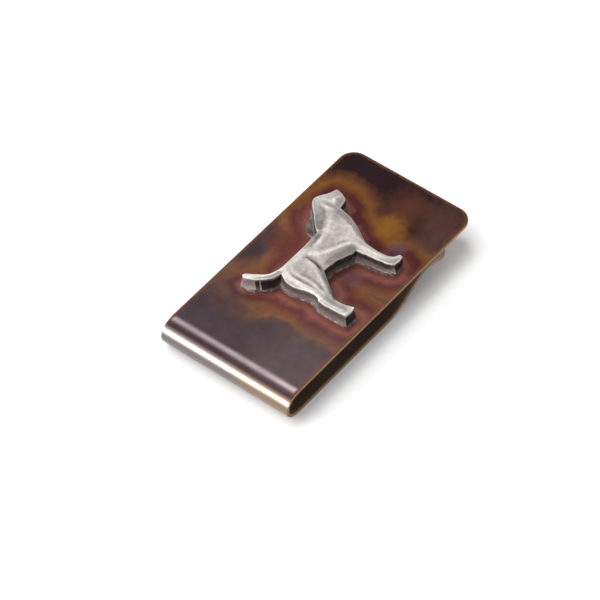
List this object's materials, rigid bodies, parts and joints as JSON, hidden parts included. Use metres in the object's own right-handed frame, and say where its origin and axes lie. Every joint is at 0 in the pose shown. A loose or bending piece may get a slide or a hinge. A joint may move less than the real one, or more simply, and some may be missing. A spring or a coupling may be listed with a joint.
{
  "type": "money clip",
  "caption": "Folded spring-strip money clip with a flame-coloured copper-alloy front plate and a soldered cast gun dog in relief.",
  "frame": {"origin": "centre of the bounding box's underside, on the flat underside of the back leg", "axes": "+Y along the clip from the bend to the tip, +X across it towards the dog's feet, +Z out of the front plate"},
  "size_m": [0.0264, 0.0514, 0.0088],
  "materials": {
    "patina_plate": "flame patina under clear lacquer, semi-gloss",
    "bare_strip": "polished bend and back leg, lightly scratched",
    "pewter": "cast pewter, burnished tops and dark hollows",
    "solder": "dark rough soft solder"
  },
  "bodies": {
    "back": {"back_leg": "bare_strip", "spring_bend": "bare_strip"},
    "front": {"front_plate": "patina_plate", "solder_bed": "solder", "dog_casting": "pewter"}
  },
  "joints": [
    {"name": "jaw_opening", "type": "hinge", "parent": "back", "child": "front", "pos_m": [0, -0.02295, 0.00275], "axis": [1, 0, 0], "range_deg": [0, 9], "stiffness_Nm_per_rad": 1.5}
  ]
}
